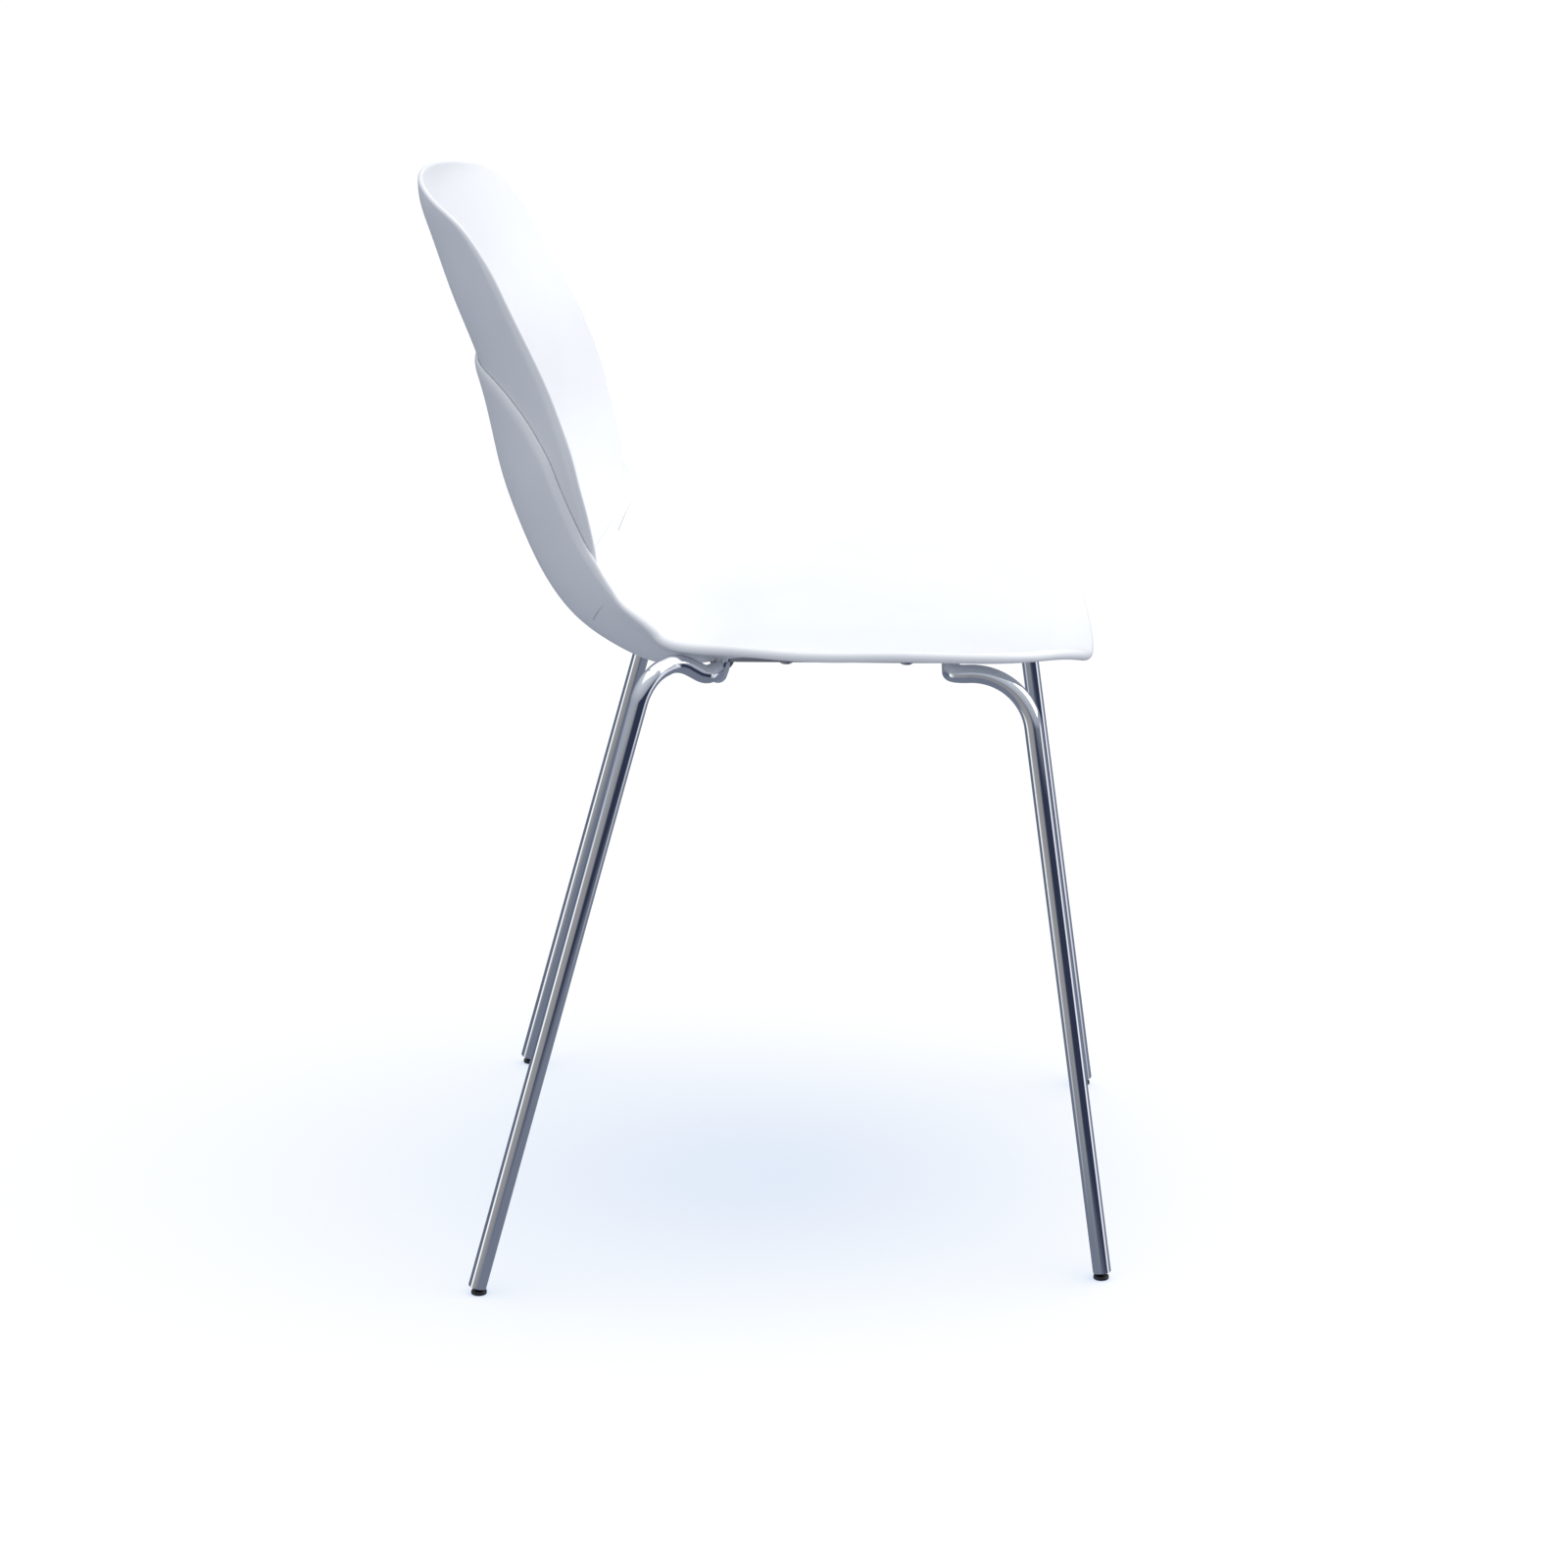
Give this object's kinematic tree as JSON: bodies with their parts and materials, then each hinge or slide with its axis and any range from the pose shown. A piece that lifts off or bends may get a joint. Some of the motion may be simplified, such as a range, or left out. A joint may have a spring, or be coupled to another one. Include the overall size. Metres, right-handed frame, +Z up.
{
  "type": "stacking chair",
  "caption": "Armless stacking chair: lapped white moulded seat and back shells on bent chromed tube legs with tilting glides.",
  "frame": {"origin": "on the floor, at the middle of the bounding box's base", "axes": "+Z up, -Y the chair's front, +X the sitter's left"},
  "size_m": [0.5206, 0.5196, 0.7923],
  "materials": {
    "white_shell": "satin-gloss moulded polypropylene",
    "chrome_tube": "bright chrome plating",
    "black_nylon": "moulded nylon",
    "grey_clip": "moulded soft plastic",
    "zinc_steel": "bright zinc plating",
    "brass_insert": "turned brass"
  },
  "bodies": {
    "chair": {"seat_shell": "white_shell", "back_shell": "white_shell", "front_leg_frame": "chrome_tube", "rear_leg_frame": "chrome_tube", "right_seat_rail": "chrome_tube", "left_seat_rail": "chrome_tube", "seat_screws": "zinc_steel", "seat_washers": "zinc_steel", "threaded_inserts": "brass_insert", "front_right_stacking_pad": "grey_clip", "front_right_leg_plug": "black_nylon", "front_right_glide_pin": "zinc_steel", "front_left_stacking_pad": "grey_clip", "front_left_leg_plug": "black_nylon", "front_left_glide_pin": "zinc_steel", "rear_right_stacking_pad": "grey_clip", "rear_right_leg_plug": "black_nylon", "rear_right_glide_pin": "zinc_steel", "rear_left_stacking_pad": "grey_clip", "rear_left_leg_plug": "black_nylon", "rear_left_glide_pin": "zinc_steel"},
    "front_right_foot": {"front_right_glide": "black_nylon"},
    "front_left_foot": {"front_left_glide": "black_nylon"},
    "rear_right_foot": {"rear_right_glide": "black_nylon"},
    "rear_left_foot": {"rear_left_glide": "black_nylon"}
  },
  "joints": [
    {"name": "front_right_glide_tilt", "type": "hinge", "parent": "chair", "child": "front_right_foot", "pos_m": [-0.21202, -0.25294, 0.01], "axis": [-0.8122, 0.5833, 0], "range_deg": [-10, 30]},
    {"name": "front_left_glide_tilt", "type": "hinge", "parent": "chair", "child": "front_left_foot", "pos_m": [0.21202, -0.25294, 0.01], "axis": [-0.8122, -0.5833, 0], "range_deg": [-10, 30]},
    {"name": "rear_right_glide_tilt", "type": "hinge", "parent": "chair", "child": "rear_right_foot", "pos_m": [-0.2532, 0.20724, 0.01], "axis": [0.9604, 0.2787, 0], "range_deg": [-4, 36]},
    {"name": "rear_left_glide_tilt", "type": "hinge", "parent": "chair", "child": "rear_left_foot", "pos_m": [0.2532, 0.20724, 0.01], "axis": [0.9604, -0.2787, 0], "range_deg": [-4, 36]}
  ]
}
